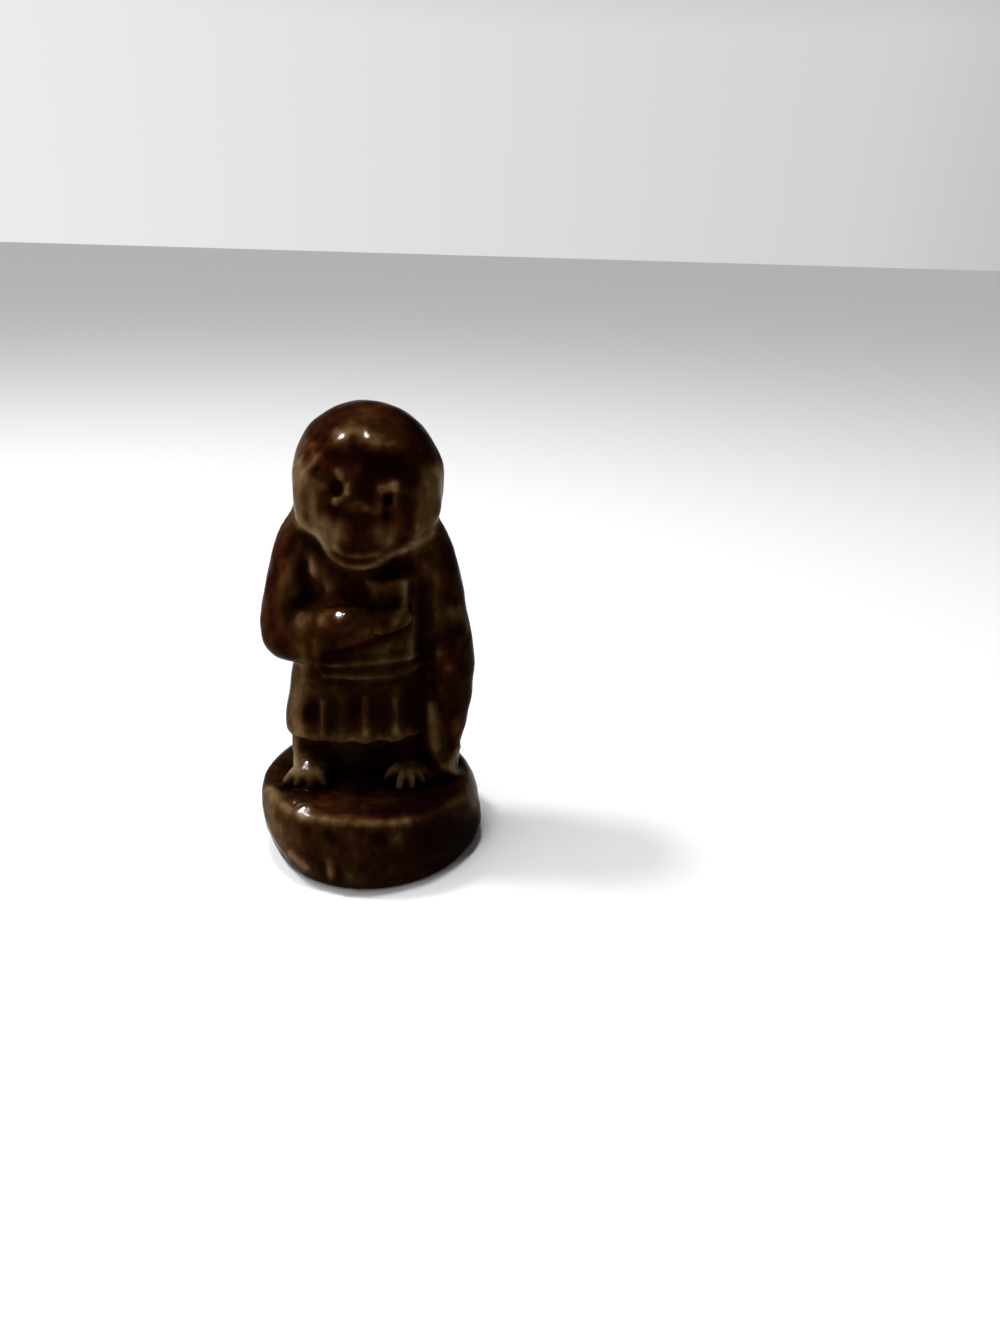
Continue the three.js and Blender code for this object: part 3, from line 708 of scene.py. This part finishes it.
def skin(field, axes):
    """A quad mesh over the zero surface: one corner in each cell that the surface crosses."""
    shape = np.array(field.shape) - 1
    total = np.zeros((3, shape.prod()))
    count = np.zeros(shape.prod())
    quads = []
    for axis in range(3):
        edge, place, starts_inside = crossings(field, axes, axis)
        others = [k for k in range(3) if k != axis]
        around = []
        good = np.ones(len(edge), bool)
        for du, dv in ((-1, -1), (0, -1), (0, 0), (-1, 0)):
            cell = edge.copy()
            cell[:, others[0]] += du
            cell[:, others[1]] += dv
            good &= ((cell >= 0) & (cell < shape)).all(1)
            around.append(cell)
        flat = [np.ravel_multi_index(cell[good].T, shape) for cell in around]
        for index in flat:
            for k in range(3):
                total[k] += np.bincount(index, place[good, k], len(count))
            count += np.bincount(index, minlength=len(count))
        ring = np.stack(flat, 1)
        flip = starts_inside[good] == (axis == 1)
        ring[flip] = ring[flip, ::-1]
        quads.append(ring)
    used = np.flatnonzero(count)
    number = np.full(len(count), -1)
    number[used] = np.arange(len(used))
    return (total[:, used] / count[used]).T, number[np.concatenate(quads)]


TETRA = np.array([[1, 1, 1], [1, -1, -1], [-1, 1, -1], [-1, -1, 1]], float)
SLOPE_REACH = 0.04
SETTLE_ROUNDS = 2
SETTLE_MOST = 0.12


def slope_of(points, reach):
    """The slope of the lump's distance at points."""
    return sum(lump(points + TETRA[i] * reach)[:, None] * TETRA[i] for i in range(4)) / (4 * reach)


def settle(points):
    """Moves points onto the surface, and returns them with their outward directions."""
    slope = slope_of(points, SLOPE_REACH)
    for _ in range(SETTLE_ROUNDS):
        size = np.maximum((slope ** 2).sum(1), 0.2)
        move = lump(points) / size
        points = points - np.clip(move, -SETTLE_MOST, SETTLE_MOST)[:, None] * slope
    points[:, 2] = np.maximum(points[:, 2], 0)
    return points, slope / np.linalg.norm(slope, axis=1)[:, None]


# How far fine and broad relief reaches, in mm
RELIEF_REACH = {"fine": 0.35, "broad": 1.0}


def relief_of(points, normals):
    """How sunk and how ridged the surface is at points, from 0 to 1, over each reach."""
    relief = {}
    for name, reach in RELIEF_REACH.items():
        over = lump(points + normals * reach)
        under = lump(points - normals * reach)
        relief["sunk_" + name] = np.clip((reach - over) / reach, 0, 1)
        relief["ridge_" + name] = np.clip((under + reach) / reach, 0, 1)
    return relief


def evened(values, quads, weight, rounds):
    """Values blended with the mean of their neighbours, by a weight at each corner."""
    weight = weight.reshape(-1, *[1] * (values.ndim - 1))
    around = np.bincount(quads.ravel(), minlength=len(values)).reshape(weight.shape)
    for _ in range(rounds):
        means = values[quads].mean(1)
        columns = means.reshape(len(quads), -1).T
        total = [np.bincount(quads.ravel(), np.repeat(column, 4), len(values)) for column in columns]
        values = values + weight * (np.stack(total, 1).reshape(values.shape) / around - values)
    return values


# The glaze's strokes, with an amount for the lift. These make it thinner and paler, or thicker and darker;
# those marked paint in a sheen, a highlight or a shadow
THIN_AND_PAINTED_LIGHT_STROKES = [
    # the head
    (17, 0.57, 1.5, (300, 478), (304, 518), (324, 536)),
    # the second stroke here is painted light along the right cheek's outer edge
    (13, 0.49, 1.5, (431, 475), (430, 520), (414, 542)), (6, 0.45, 3, (441, 464), (442, 490)),
    (6, 0.1, -2, (321, 527)), (10, -0.18, -2, (362, 482), (362, 499)),
    (8, -0.14, -2, (385, 476), (408, 478)), (7, -0.12, -2, (352, 518), (372, 521)),
    (4.5, 0.2, 0, (295, 517), (302, 527), (314, 533), (322, 541), (333, 558), (358, 568),
     (371, 566), (392, 554), (422, 543), (434, 533)),
    (7, 0.03, -2, (345, 520), (343, 538)), (5, 0.6, -2, (335.5, 488)), (4, 0.35, -2, (388, 498)),
    (7, 0.14, -2, (330, 524), (333, 542)), (8, 0.1, -2, (378, 534), (391, 537)),
    (9, -0.53, -2, (372, 470), (392, 464), (410, 473)), (6, 0.14, -2, (326, 505), (322, 520)),
    # the second stroke here is paler glaze over the fringe, with a painted sheen round its highlights
    (11, -0.05, -2, (365, 486)), (8, 0.4, -2, (337, 436), (352, 430), (379, 440)),
    (6, 0.15, -2, (342, 441)), (6, 0.12, -2, (371, 443)), (6, 0.18, -2, (390, 441), (400, 444)),
    (4, -0.12, -2, (354, 436), (354, 447)), (8, -0.12, 0, (322, 436), (320, 450)),
    (9, -0.24, -2, (332, 458), (372, 457), (400, 461)), (9, -0.13, -2, (360, 524), (359, 546)),
    # the first stroke here is painted shade down the hair's right side, turned from the light
    (8, -0.3, 1, (402, 406), (424, 432), (435, 460)), (12, 0.05, 0, (352, 412), (376, 416)),
    # the second stroke here is a painted grey sheen down the head's left side
    (5.5, -0.2, 0, (313, 474)), (8, 0.3, 0.5, (297, 445), (296, 480)),
    (8, -0.15, 0, (412, 425), (420, 455)),
    # the body
    # the last stroke here is painted shade in the hollow between the bent arm and the chest
    (7, -0.1, 0, (303, 563), (306, 592)), (5, 0.35, 0, (312.5, 568)), (8, -0.1, 0, (290, 610), (312, 596)),
    (9, 0.05, 0, (348, 584), (362, 602)), (7, 0.3, 0, (378, 573), (412, 570)),
    (10, 0.22, 0, (376, 590), (396, 592)), (10, 0.08, 0, (355, 620), (395, 645)),
    (9, -0.3, -2, (382, 626), (405, 611)), (3.4, 0.26, -2, (400.5, 613)), (3.4, 0.2, -2, (396, 622)),
    # the second stroke here is painted shade along the line under the forearm
    (10, 0.08, -1, (306, 637), (318, 640)), (4, -0.04, -2, (329, 657), (351, 648), (373, 640), (398, 627)),
    (6, 0.09, 0.5, (284, 560), (283, 588)), (11, 0.06, 1, (281, 600), (277, 628)), (4, 0.2, -2, (302, 624)),
    (4, 0.2, -2, (321, 621)), (5, 0.25, -2, (338, 620)), (6, 0.1, -2, (372, 625), (390, 622)),
    (5, 0.12, -2, (385, 650), (340, 660)), (5, -0.1, 0, (422, 590), (422, 650)),
    (7, 0.12, 1, (436, 575), (438, 627)), (6, 0.2, 1, (452, 612), (460, 612)),
    (8, 0.21, 1, (428, 566), (432, 548)), (13, -0.15, 1, (450, 640), (452, 700)),
    (9, -0.06, 1, (449, 700), (449, 728)), (4, 0.15, 1, (440, 654)), (4, 0.22, 1, (449, 668)),
    # the skirt
    # the first stroke here is painted light on the skirt's left side
    (12, 0.49, 1, (298, 670), (297, 726)), (15, -0.1, 0, (340, 712), (398, 712)),
    (5, 0.02, 0, (328, 733), (402, 735)), (5, 0.07, 0, (300, 730), (320, 731)),
    (8, -0.2, 0, (414, 690), (415, 722)), (7, 0.12, 0, (414, 732)), (6, 0.36, 0, (432, 708), (436, 748)),
    (4, 0.2, 0, (447, 768)), (3, 0.45, 1, (460, 747), (452, 764), (455, 772), (461, 772)),
    (5, 0.25, 1, (457, 728)), (6, -0.3, 1, (310, 713)),
    # the feet and the base
    # the first stroke here is painted shade under the hem, and the next line starts with painted shade
    # between the feet
    (12, -0.03, 1, (330, 752), (405, 752)), (16, -0.015, 0, (340, 795)), (18, -0.22, 0, (425, 797)),
    (9, -0.12, 0, (350, 777), (385, 785)), (5, 0.75, 0.5, (294, 742), (295, 770)),
    (11, 0.62, 0, (294, 766), (316, 772)), (11, 0.32, 0, (395, 770), (420, 770)),
    (7, -0.38, -2, (374, 812), (400, 810), (425, 803), (448, 792)),
    (5, 0.2, 0, (270, 788), (283, 803), (303, 815)),
    (5, 0.42, 0, (303, 815), (337, 821), (367, 823), (403, 822), (420, 818)),
    # the second stroke here is a painted highlight down the base's right edge
    (5.5, 0.12, 0, (420, 818), (433, 813), (462, 798)), (5, 0.7, 5, (471, 773), (473, 804)),
    # painted light on the base's left side and painted shade on its right; the next line starts with painted
    # shade on its lower right
    (14, 0.5, 3.5, (266, 800), (276, 842)), (24, -0.5, 2, (436, 838), (466, 842)),
    (22, -0.2, 0, (395, 866), (430, 858)), (5, -0.22, 0, (328.5, 835)),
    (5, -0.22, 0, (375, 839), (383, 839)), (4, 0.2, 0, (333, 831)), (6, 0.18, 0, (399, 840)),
    (5, 0.15, 0, (349, 836)), (5, 0.2, 0, (331, 868), (332, 876)), (5, 0.14, 0, (351, 870), (352, 878)),
    (5, 0.22, 0, (291, 855), (306, 867)), (9, 0.02, 0, (310, 842)), (10, 0.1, 0, (318, 850), (335, 850)),
    (9, 0.08, 0, (362, 856)),
]

# Where the glaze turned red
RED_STROKES = [
    # the crown, hair and the fringe's shadow
    (22, 0.6, 2, (325, 413), (385, 408)), (14, 0.9, 2, (308, 440), (322, 452)), (14, 0.4, 2, (420, 430)),
    (12, 0.9, 0, (330, 462), (385, 458)),
    # the sleeve, forearm, chest and hanging arm
    (13, 1, 3, (280, 548), (266, 600), (280, 645)), (16, 0.8, 1, (306, 640), (325, 625), (345, 625)),
    (14, 0.6, 0, (330, 575), (350, 590)), (16, 0.6, 3, (450, 650), (452, 720)),
    # the base's top, the muzzle's groove and below the chin
    (18, 0.9, 0, (340, 797), (320, 790)), (11, 0.8, 0, (360, 518), (359, 547)), (12, 0.8, 0, (395, 572)),
    (9, 0.6, 0, (376, 811), (420, 804)),
    # the eyes, nose, cheek, lips, forearm's shadow and collar
    (7, 1.2, 0, (335, 489)), (8, 1, 0, (332, 512)), (9, 1.1, 0, (388, 495), (388, 520)),
    (6, 0.2, 0, (352, 508), (378, 511)), (8, 0.6, 0, (402, 515), (400, 535)), (10, 0.4, 0, (370, 488)),
    (6, 0.3, -3, (340, 560), (375, 560)), (6, 0.7, -2, (330, 656), (372, 641)),
    (8, 0.4, 0, (420, 570), (390, 573)),
]

# Where the glaze is smooth enough to mirror the lamps
GLOSS_STROKES = [
    # the fringe and the forearm
    (3.4, 0.5, -2, (343, 435.5)), (2.8, 0.4, -2, (365.5, 435.5)), (3.6, 0.9, -2, (339.5, 615.5)),
    (2.8, 1.1, -2, (344.2, 612.6)),
    # the left foot and the rim
    (4.2, 1.1, -1, (306.5, 761.5)), (6.5, 1.6, -3, (303.5, 808)), (2.6, 0.9, -3, (296, 802)),
    (8, 0.16, -3, (292, 797), (312, 806)),
    # the crown and the hair's side
    (5, 0.3, 0, (357, 411)), (7, 0.14, 3, (298, 432), (294, 468)),
]

# How much of a clay stroke shows in the glaze, and how much wider it spreads there
PRESSED_AMOUNT = 0.65
PRESSED_SPREAD = 1.7

# How thin the glaze is all over, and how relief changes that
THIN_ALL_OVER = 0.37
THIN_BY_RELIEF = {"ridge_fine": 0.22, "ridge_broad": 0.4, "sunk_fine": -0.25, "sunk_broad": -0.45}

# Above this the glaze hardly gets paler
THINNEST = 0.85
PAST_THINNEST = 0.45

# The hidden side's even gloss
GLOSS_BEHIND = 0.3

# A glaze stroke's margin in half-widths, and how much of a turn away from the view it fades over
GLAZE_MARGIN = 2.6
TURN_FADE = 0.22


def turned_to_view(points, normals):
    """1 on a surface that faces the view, fading to 0 where it turns away from it."""
    toward = VIEW_PLACE - points
    return smooth(1 + (toward * normals).sum(1) / np.linalg.norm(toward, axis=1) / TURN_FADE)


def laid_on(clay, seen, strokes):
    """The strokes' amounts added up, on the side that the view sees."""
    value = np.zeros(len(clay.p))
    for width, amount, front, *path in strokes:
        path = stroke_path(path)
        at = clay.beside(path, GLAZE_MARGIN * width, front)
        fall = np.exp(-(clay.far_from(path, at) / width) ** 2)
        value[at] += amount * fall * smooth((front - clay.y[at]) / STROKE_FADE)
    return value * seen


def glaze_values(corners, outward, relief):
    """How pale the glaze is, from its thickness and from painted sheen and shade, and how glossy and how red
    it is, at each corner.
    """
    surface = Clay(corners)
    seen = turned_to_view(corners, outward)
    pressed = [(PRESSED_SPREAD * width, PRESSED_AMOUNT * lift, front, *path)
               for width, lift, front, *path in STROKES]
    # the marked glaze strokes add painted sheen and shade into this same value
    thin_and_painted_light = THIN_ALL_OVER + laid_on(surface, seen, pressed) + laid_on(surface, seen, THIN_AND_PAINTED_LIGHT_STROKES)
    thin_and_painted_light += sum(amount * relief[name] for name, amount in THIN_BY_RELIEF.items())
    thin_and_painted_light = np.minimum(thin_and_painted_light, THINNEST + PAST_THINNEST * (thin_and_painted_light - THINNEST))
    behind = GLOSS_BEHIND * smooth((surface.y - 1.5) / 2.0)
    gloss = np.clip(laid_on(surface, seen, GLOSS_STROKES) + behind, 0, 1)
    gloss *= smooth((outward[:, 2] - 0.3) / 0.3)
    red = np.clip(laid_on(surface, seen, RED_STROKES), 0, 1)
    return thin_and_painted_light, gloss, red


class Nodes:
    """Adds nodes to a node tree and links them."""

    def __init__(self, tree):
        self.tree = tree

    def node(self, kind, settings=None, **inputs):
        made = self.tree.nodes.new("ShaderNode" + kind)
        for key, value in (settings or {}).items():
            setattr(made, key, value)
        for key, value in inputs.items():
            self.feed(made, key.replace("_", " "), value)
        return made

    def feed(self, node, socket, value):
        """Links a socket, by its name or number, to another one, or sets its value."""
        if isinstance(value, bpy.types.NodeSocket):
            self.tree.links.new(value, node.inputs[socket])
        else:
            node.inputs[socket].default_value = value

    def math(self, operation, a, b):
        made = self.node("Math", {"operation": operation})
        self.feed(made, 0, a)
        self.feed(made, 1, b)
        return made.outputs[0]

    def attribute(self, name):
        return self.node("Attribute", {"attribute_name": name}).outputs["Fac"]

    def noise(self, scale, detail, upward=1):
        """Noise fixed to the object. It runs into upright streaks where upward is below 1."""
        place = self.node("TexCoord").outputs["Object"]
        scaled = self.node("Mapping", Vector=place, Scale=(1, 1, upward)).outputs[0]
        return self.node("TexNoise", Vector=scaled, Scale=scale, Detail=detail).outputs["Fac"]

    def cloud(self, scale, detail, upward, amount):
        """Noise about zero, up to half an amount each way."""
        return self.math("MULTIPLY", self.math("SUBTRACT", self.noise(scale, detail, upward), 0.5), amount)

    def ramp(self, fac, stops):
        """Colours by a value: stops are (value from 0 to 1, colour)."""
        made = self.node("ValToRGB", Fac=fac)
        elements = made.color_ramp.elements
        while len(elements) < len(stops):
            elements.new(0.5)
        for element, (place, colour) in zip(elements, stops):
            element.position = place
            element.color = (*colour, 1)
        return made.outputs["Color"]

    def mix(self, fac, a, b):
        """One colour turning into another."""
        made = self.node("Mix", {"data_type": "RGBA"}, Factor=fac)
        self.feed(made, 6, a)
        self.feed(made, 7, b)
        return made.outputs[2]


# The glaze's colour by how thin it is and by the painted sheen and shade in the same value, brown and red
TONE_SPAN = 1.3
GLAZE_TONES = [
    (0, (0.0042, 0.001, 0.0006)), (0.25, (0.0082, 0.0024, 0.0007)), (0.5, (0.02, 0.0078, 0.002)),
    (0.75, (0.05, 0.0255, 0.0085)), (1, (0.115, 0.069, 0.032)), (1.3, (0.2, 0.135, 0.074)),
]
RED_TONES = [
    (0, (0.005, 0.0008, 0.0011)), (0.25, (0.0118, 0.0023, 0.0011)), (0.5, (0.033, 0.0082, 0.0022)),
    (0.75, (0.07, 0.0275, 0.0085)), (1, (0.125, 0.069, 0.032)), (1.3, (0.2, 0.135, 0.074)),
]

# Clouds and runs in the glaze: scale, detail, scale upward and amount
GLAZE_CLOUDS = [
    (210, 3, 0.7, 0.35), (520, 4, 0.55, 0.55), (760, 3, 0.2, 0.3), (1150, 3, 0.8, 0.4),
]
RED_CLOUD = (190, 2, 1, 0.8)
SPECK_SCALE = 1700.0
SPECK_AMOUNT = 0.15
ROUGHNESS = (0.09, 0.16)
PITTING_SCALE = 900.0
PITTING_DEPTH = 0.00008
PITTING_STRENGTH = 0.15
SHADER_VALUES = {
    "Specular IOR Level": 0.003, "Specular Tint": (1, 0.6, 0.3, 1), "Coat Roughness": 0.15, "Coat IOR": 1.8,
}


def new_material(name):
    material = bpy.data.materials.new(name)
    material.use_nodes = True
    return material, Nodes(material.node_tree), material.node_tree.nodes["Principled BSDF"]


def glaze():
    """Treacle glaze: near black where thick, tan where thinner, with painted sheen and shade laid into the
    same values, and a mirror coat on drops.
    """
    material, paint, shader = new_material("treacle_glaze")
    tone = paint.attribute("thin_and_painted_light")
    for cloud in GLAZE_CLOUDS:
        tone = paint.math("ADD", tone, paint.cloud(*cloud))
    speck = paint.noise(SPECK_SCALE, 2.0)
    tone = paint.math("ADD", tone, paint.math("MULTIPLY", paint.math("SUBTRACT", speck, 0.5), SPECK_AMOUNT))
    tone = paint.math("DIVIDE", tone, TONE_SPAN)
    red = paint.math("ADD", paint.attribute("red"), paint.cloud(*RED_CLOUD))
    tables = [[(place / TONE_SPAN, colour) for place, colour in table] for table in (GLAZE_TONES, RED_TONES)]
    paint.feed(shader, "Base Color", paint.mix(red, paint.ramp(tone, tables[0]), paint.ramp(tone, tables[1])))
    rough = paint.node("MapRange", Value=tone, To_Min=ROUGHNESS[0], To_Max=ROUGHNESS[1])
    paint.feed(shader, "Roughness", rough.outputs[0])
    pits = paint.math("MULTIPLY", paint.noise(PITTING_SCALE, 3.0), 0.7)
    height = paint.math("ADD", pits, paint.math("MULTIPLY", speck, 0.3))
    bump = paint.node("Bump", Height=height, Strength=PITTING_STRENGTH, Distance=PITTING_DEPTH)
    paint.feed(shader, "Normal", bump.outputs["Normal"])
    paint.feed(shader, "Coat Weight", paint.attribute("gloss"))
    for socket, value in SHADER_VALUES.items():
        shader.inputs[socket].default_value = value
    return material


def add_to_scene(name, data):
    made = bpy.data.objects.new(name, data)
    bpy.context.scene.collection.objects.link(made)
    return made


def mesh_object(name, corners, quads):
    mesh = bpy.data.meshes.new(name)
    mesh.vertices.add(len(corners))
    mesh.vertices.foreach_set("co", (corners * MM).astype(np.float32).ravel())
    mesh.loops.add(quads.size)
    mesh.loops.foreach_set("vertex_index", quads.astype(np.int32).ravel())
    mesh.polygons.add(len(quads))
    mesh.polygons.foreach_set("loop_start", np.arange(0, quads.size, 4, dtype=np.int32))
    mesh.update(calc_edges=True)
    mesh.validate()
    mesh.shade_smooth()
    return add_to_scene(name, mesh)


def add_values(mesh, name, values):
    layer = mesh.attributes.new(name, "FLOAT", "POINT")
    layer.data.foreach_set("value", np.asarray(values, np.float32))


def make_figurine():
    """The whole figurine as one mesh, with the glaze's values at its corners."""
    axes = (XS, YS, ZS)
    corners, quads = skin(grid_distances(*axes), axes)
    corners, outward = settle(corners)
    relief = relief_of(corners, outward)
    crease = smooth(relief["sunk_fine"] / 0.5)
    corners = evened(corners, quads, 0.8 * crease, rounds=4)
    made = mesh_object("glazed_figurine", corners, quads)
    thin_and_painted_light, gloss, red = glaze_values(corners, outward, relief)
    add_values(made.data, "thin_and_painted_light", evened(thin_and_painted_light, quads, 0.2 + 0.8 * crease, rounds=3))
    add_values(made.data, "gloss", gloss)
    add_values(made.data, "red", red)
    made.data.materials.append(glaze())
    return made


figure = make_figurine()
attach(figure, "root")
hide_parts("figurine")

FLOOR_REACH = 2
FLOOR_COLOUR = (0.88, 0.88, 0.88, 1)


def make_floor():
    r = FLOOR_REACH
    mesh = bpy.data.meshes.new("floor")
    mesh.from_pydata([(-r, -r, 0), (r, -r, 0), (r, r, 0), (-r, r, 0)], [], [(0, 1, 2, 3)])
    material, _, shader = new_material("floor_paint")
    shader.inputs["Base Color"].default_value = FLOOR_COLOUR
    shader.inputs["Roughness"].default_value = 0.9
    mesh.materials.append(material)
    return add_to_scene("floor", mesh)


floor = make_floor()


def make_view():
    data = bpy.data.cameras.new("view")
    data.lens = LENS
    data.sensor_width = LENS_FRAME
    data.sensor_fit = "AUTO"
    data.clip_start = 0.005
    camera = add_to_scene("view", data)
    turn = Matrix(VIEW_AXES.tolist()).to_4x4()
    camera.matrix_world = Matrix.Translation(Vector(VIEW_PLACE * MM)) @ turn
    bpy.context.scene.camera = camera


# The lamps that the glaze mirrors: place in mm and power
SPARK_LAMPS = {"spark_left": ((-171, 34, 305), 0.68), "spark_right": ((-17, -20, 350), 0.52)}
LAMP_SIZE = 60
LAMP_AIM = (0, 0, 22)

# A wide soft light from above and to the left
PANEL_STRENGTH = 1.4
PANEL_SPREAD = 50
PANEL_FROM = (-0.45, -0.2, 0.85)

# The room's light: its strength falls between two heights, and across from left to right
ROOM_HEIGHTS = (0.15, 0.45)
ROOM_STRENGTHS = (1.6, 0.12)
ROOM_ACROSS = [(0, 0.8), (0.28, 0.55), (0.72, 0.4), (1, 0.08)]


def make_lamp(name, place, power):
    data = bpy.data.lights.new(name, "AREA")
    data.shape = "DISK"
    data.size = LAMP_SIZE * MM
    data.energy = power
    made = add_to_scene(name, data)
    made.location = Vector(place) * MM
    made.rotation_euler = (Vector(LAMP_AIM) - Vector(place)).to_track_quat("-Z", "Y").to_euler()


def make_panel():
    data = bpy.data.lights.new("sky_panel", "SUN")
    data.energy = PANEL_STRENGTH
    data.angle = math.radians(PANEL_SPREAD)
    made = add_to_scene("sky_panel", data)
    made.rotation_euler = Vector(PANEL_FROM).to_track_quat("Z", "Y").to_euler()


def make_room():
    world = bpy.data.worlds.new("studio")
    bpy.context.scene.world = world
    world.use_nodes = True
    room = Nodes(world.node_tree)
    split = room.node("SeparateXYZ", Vector=room.node("TexCoord").outputs["Generated"])
    fade = room.node("MapRange", Value=split.outputs["Z"], From_Min=ROOM_HEIGHTS[0], From_Max=ROOM_HEIGHTS[1],
                     To_Min=ROOM_STRENGTHS[0], To_Max=ROOM_STRENGTHS[1])
    across = room.node("MapRange", Value=split.outputs["X"], From_Min=-1)
    sides = room.ramp(across.outputs[0], [(place, [level] * 3) for place, level in ROOM_ACROSS])
    background = world.node_tree.nodes["Background"]
    room.feed(background, "Strength", room.math("MULTIPLY", fade.outputs[0], sides))
    background.inputs["Color"].default_value = (1, 1, 1, 1)


make_view()
for lamp_name, (lamp_place, lamp_power) in SPARK_LAMPS.items():
    make_lamp(lamp_name, lamp_place, lamp_power)
make_panel()
make_room()
bpy.context.scene.view_settings.view_transform = "Standard"
